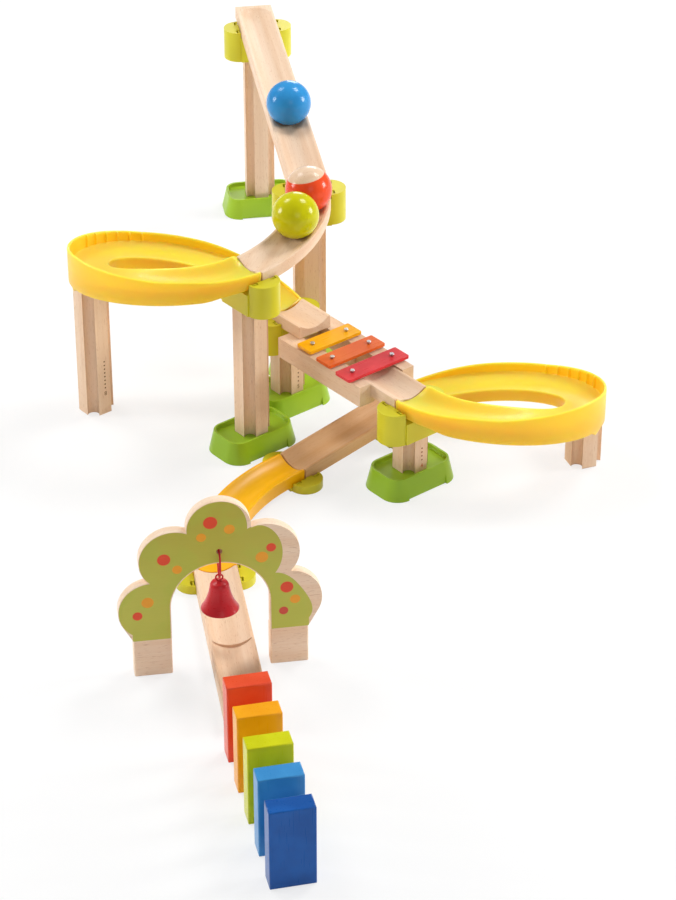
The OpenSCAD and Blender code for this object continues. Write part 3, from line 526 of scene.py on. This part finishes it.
# Lacquers, light and deep tone; the gloss of the balls and of the rest
LACQUERS = {
    "chime_bar_yellow": ("#FBB600", "#F3A800"),
    "chime_bar_orange": ("#F0702E", "#E66222"),
    "chime_bar_red": ("#E23A40", "#D42C34"),
    "domino_red": ("#EC5532", "#E34A28"),
    "domino_orange": ("#FBAE16", "#F5A30A"),
    "domino_lime": ("#D6D80C", "#CCCE00"),
    "domino_sky": ("#4298D6", "#388CCB"),
    "domino_blue": ("#115CAE", "#0B519F"),
    "ball_blue": ("#3394D5", "#2A87C9"),
    "ball_red": ("#F45327", "#EA481F"),
    "ball_lime": ("#D3CF00", "#C8C400"),
    "bell": ("#D42B33", "#C3232C"),
}
LACQUER_TURNS = {"chime": ACROSS_FRAME, "domino": UPRIGHT}
BALL_GLOSS = 0.16
PAINT_GLOSS = 0.24
BAR_EDGE = 0.5
for node, (light, deep) in LACQUERS.items():
    kind = node.split("_")[0]
    turn = LACQUER_TURNS.get(kind, flat_turn(0))
    gloss = BALL_GLOSS if kind == "ball" else PAINT_GLOSS
    paint = lacquered("lacquer_" + node, light, deep, turn, gloss)
    dress(node, paint, BAR_EDGE if kind == "chime" else 0.0)

# The red ball's bare wooden cap, round a direction from the ball's middle: its level as a share of
# the radius, its soft edge, and its grain's direction
CAP_WAY = Vector((-0.183, 0.051, 0.982))
CAP_LEVEL = 0.617
CAP_EDGE = 0.012
CAP_GRAIN = 20


def capped(ball):
    """Leaves the cap of a lacquered ball as clear lacquered beech."""
    low, high = corners(ball)
    radius = (high.z - low.z) / 2
    tree = NODES[ball].data.materials[0].node_tree
    shader = tree.nodes["Principled BSDF"]
    place = Field(tree, tree.nodes.new("ShaderNodeTexCoord").outputs["Object"])
    spoke = place.node("ShaderNodeVectorMath", {"operation": "SUBTRACT"},
                       {0: place, 1: middle(ball)})
    level = place.node("ShaderNodeVectorMath", {"operation": "DOT_PRODUCT"},
                       {0: spoke, 1: CAP_WAY / radius}, out="Value")
    cap = level.step(CAP_LEVEL - CAP_EDGE, CAP_LEVEL + CAP_EDGE)
    painted = Field(tree, shader.inputs["Base Color"].links[0].from_socket)
    wood = beech_colour(place, flat_turn(CAP_GRAIN), 2.6)[0]
    connect(place, shader, Base_Color=cap.mix(painted, wood))


capped("ball_red")

# Levels printed on three columns, one dot a level and the number, on the face that looks along the
# chimes. Column, number, height of the lowest dot and of the number, pitch of the dots, inks
BROWN_INK, RUST_INK, RED_INK = "#5E3318", "#93402B", "#D4522C"
LEVEL_PRINTS = [
    ("column_far_1", "8", 29.0, 22.4, 4.2, BROWN_INK, BROWN_INK),
    ("column_chime_head", "5", 31.2, 25.0, 4.6, BROWN_INK, BROWN_INK),
    ("column_chime_exit", "4", 30.3, 23.5, 4.2, RUST_INK, RED_INK),
]
COLUMN_HALF = 15.5
PRINT_ASIDE = 1.2
INK_T = 0.12
DOT_R = 0.85
DOT_SIDES = 20
NUMBER_SIZE = 6.2
NUMBER_CURVES = 4


def level_print(node, number, dots_from, number_at, pitch, dot_code, number_code):
    """Dots and a number as thin ink on one face of a column."""
    axis = middle(node)
    out = along(CHIME_HEADING)
    side = along(CHIME_HEADING + 90)
    face = Matrix((side, Vector((0, 0, 1)), out)).transposed().to_4x4()
    face.translation = Vector((axis.x, axis.y, 0)) + (out * COLUMN_HALF + side * PRINT_ASIDE) * MM
    bpy.ops.object.select_all(action="DESELECT")
    bpy.ops.object.text_add()
    figure = bpy.context.object
    figure.data.body = number
    figure.data.size = NUMBER_SIZE * MM
    figure.data.align_x = figure.data.align_y = "CENTER"
    figure.data.extrude = INK_T * MM
    figure.data.resolution_u = NUMBER_CURVES
    bpy.ops.object.convert(target="MESH")
    figure = bpy.context.object
    figure.name = node + "_number"
    figure.matrix_world = face @ Matrix.Translation((0, number_at * MM, 0))
    bpy.ops.mesh.primitive_circle_add(vertices=DOT_SIDES, radius=DOT_R * MM, fill_type="NGON")
    dots = bpy.context.object
    dots.name = node + "_dots"
    bpy.ops.object.mode_set(mode="EDIT")
    bpy.ops.mesh.extrude_region_move(TRANSFORM_OT_translate={"value": (0, 0, INK_T * MM)})
    bpy.ops.mesh.select_all(action="SELECT")
    bpy.ops.mesh.normals_make_consistent()
    for _ in range(1, int(number)):
        bpy.ops.mesh.duplicate_move(TRANSFORM_OT_translate={"value": (0, pitch * MM, 0)})
    bpy.ops.object.mode_set(mode="OBJECT")
    dots.matrix_world = face @ Matrix.Translation((0, dots_from * MM, 0))
    for piece, code in ((figure, number_code), (dots, dot_code)):
        bpy.ops.object.select_all(action="DESELECT")
        piece.select_set(True)
        bpy.context.view_layer.objects.active = piece
        bpy.ops.object.transform_apply(location=True, rotation=True, scale=True)
        piece.data.materials.clear()
        piece.data.materials.append(ink("ink_" + piece.name, code))
        piece.select_set(False)
        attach(piece, "track")


for row in LEVEL_PRINTS:
    level_print(*row)

# Cord loop of the bell, from the hole in the board down through the bell's eye and back, on the same
# route as in the solids: the loop's middle, its foot and top, its half width and the cord, in
# millimetres, and half of the route as shares of the half width and of the height
CORD_HALF = [(0, 0), (0.32, 0.045), (0.58, 0.155), (0.8, 0.31), (0.94, 0.475), (1, 0.64),
             (0.985, 0.8), (0.86, 0.925), (0.64, 0.99), (0.33, 1.0), (0, 1.0)]
CORD_MIDDLE = Vector((-98.4267, -301.7931, 0.0))
CORD_FOOT_Z = 92.8
CORD_TOP_Z = 120.1
CORD_CLEAR = 9.4
CORD_D = 1.8
CORD_ROUNDNESS = 3


def cord_point(out, up):
    """A place on the cord's middle line."""
    level = Vector((0, 0, CORD_FOOT_Z + up * (CORD_TOP_Z - CORD_FOOT_Z)))
    return (CORD_MIDDLE + along(OUTER_HEADING) * out * CORD_CLEAR + level) * MM


cord_front = [cord_point(out, up) for out, up in reversed(CORD_HALF)]
cord_back = [cord_point(-out, up) for out, up in CORD_HALF[1:]]
cord_points = cord_front + cord_back
cord_line = bpy.data.curves.new("bell_cord_braid", "CURVE")
cord_line.dimensions = "3D"
cord_line.bevel_depth = CORD_D / 2 * MM
cord_line.bevel_resolution = CORD_ROUNDNESS
run = cord_line.splines.new("POLY")
run.points.add(len(cord_points) - 1)
for point, where in zip(run.points, cord_points):
    point.co = (*where, 1.0)
cord = bpy.data.objects.new("bell_cord_braid", cord_line)
bpy.context.scene.collection.objects.link(cord)
cord.data.materials.append(braid("red_braid"))
cord_length = sum((b - a).length for a, b in zip(cord_points, cord_points[1:]))
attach(cord, "track")
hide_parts("bell_cord")

# Floor: it looks white to the camera and in reflections, and keeps soft shadows
FLOOR_GLOW = 0.72
FLOOR_SIZE = 80
FLOOR_DROP = 0.0002
FLOOR_WAVES = 3.0
SEEN_BY = ("Is Camera Ray", "Is Glossy Ray", "Is Transmission Ray")
WHITE = (1, 1, 1, 1)
floor_paint, floor_shader, floor_place = finish_start("pale_floor")
speckle = floor_place.noise(FLOOR_WAVES)
connect(floor_place, floor_shader, Base_Color=speckle.mix(srgb("#FBFBFB"), srgb("#FFFFFF")),
        Roughness=0.9, Specular_IOR_Level=0.1)
camera_ray, glossy_ray, clear_ray = (floor_place.node("ShaderNodeLightPath", out=ray)
                                     for ray in SEEN_BY)
seen = floor_place.math("MINIMUM", camera_ray + glossy_ray + clear_ray, 1.0)
glow = floor_place.node("ShaderNodeEmission", {}, {"Color": WHITE, "Strength": 1.0})
lit = Field(floor_place.tree, floor_shader.outputs[0])
shown = floor_place.node("ShaderNodeMixShader", {}, {0: seen * FLOOR_GLOW, 1: lit, 2: glow})
floor_place.put(floor_place.tree.nodes["Material Output"].inputs["Surface"], shown)
bpy.ops.mesh.primitive_plane_add(size=FLOOR_SIZE, location=(0, 0, -FLOOR_DROP))
floor = bpy.context.object
floor.name = "floor"
floor.data.materials.append(floor_paint)

# Light: a dim white world and softboxes that look at the middle of the course.
# Name, place in metres, side in metres, power in watts
WORLD_STRENGTH = 0.3
SOFTBOXES = [
    ("back_right", (1.3, 1.1, 2.6), 0.9, 36),
    ("back_left", (-1.4, 1.2, 2.4), 0.9, 24),
    ("side_left", (-2.6, 0.2, 1.0), 0.8, 30),
    ("front", (0.6, -2.6, 1.6), 1.2, 6.5),
    ("back_low", (0.2, 3.0, 0.8), 0.8, 12),
    ("side_right", (2.6, 0.3, 1.0), 0.8, 42),
]
world = bpy.data.worlds.new("studio")
bpy.context.scene.world = world
world.use_nodes = True
sky = world.node_tree.nodes["Background"]
sky.inputs["Color"].default_value = WHITE
sky.inputs["Strength"].default_value = WORLD_STRENGTH
for name, place, side, power in SOFTBOXES:
    bpy.ops.object.light_add(type="AREA", location=place)
    lamp = bpy.context.object
    lamp.name = name
    lamp.data.size = side
    lamp.data.energy = power
    lamp.rotation_mode = "QUATERNION"
    lamp.rotation_quaternion = (-Vector(place)).to_track_quat("-Z", "Y")
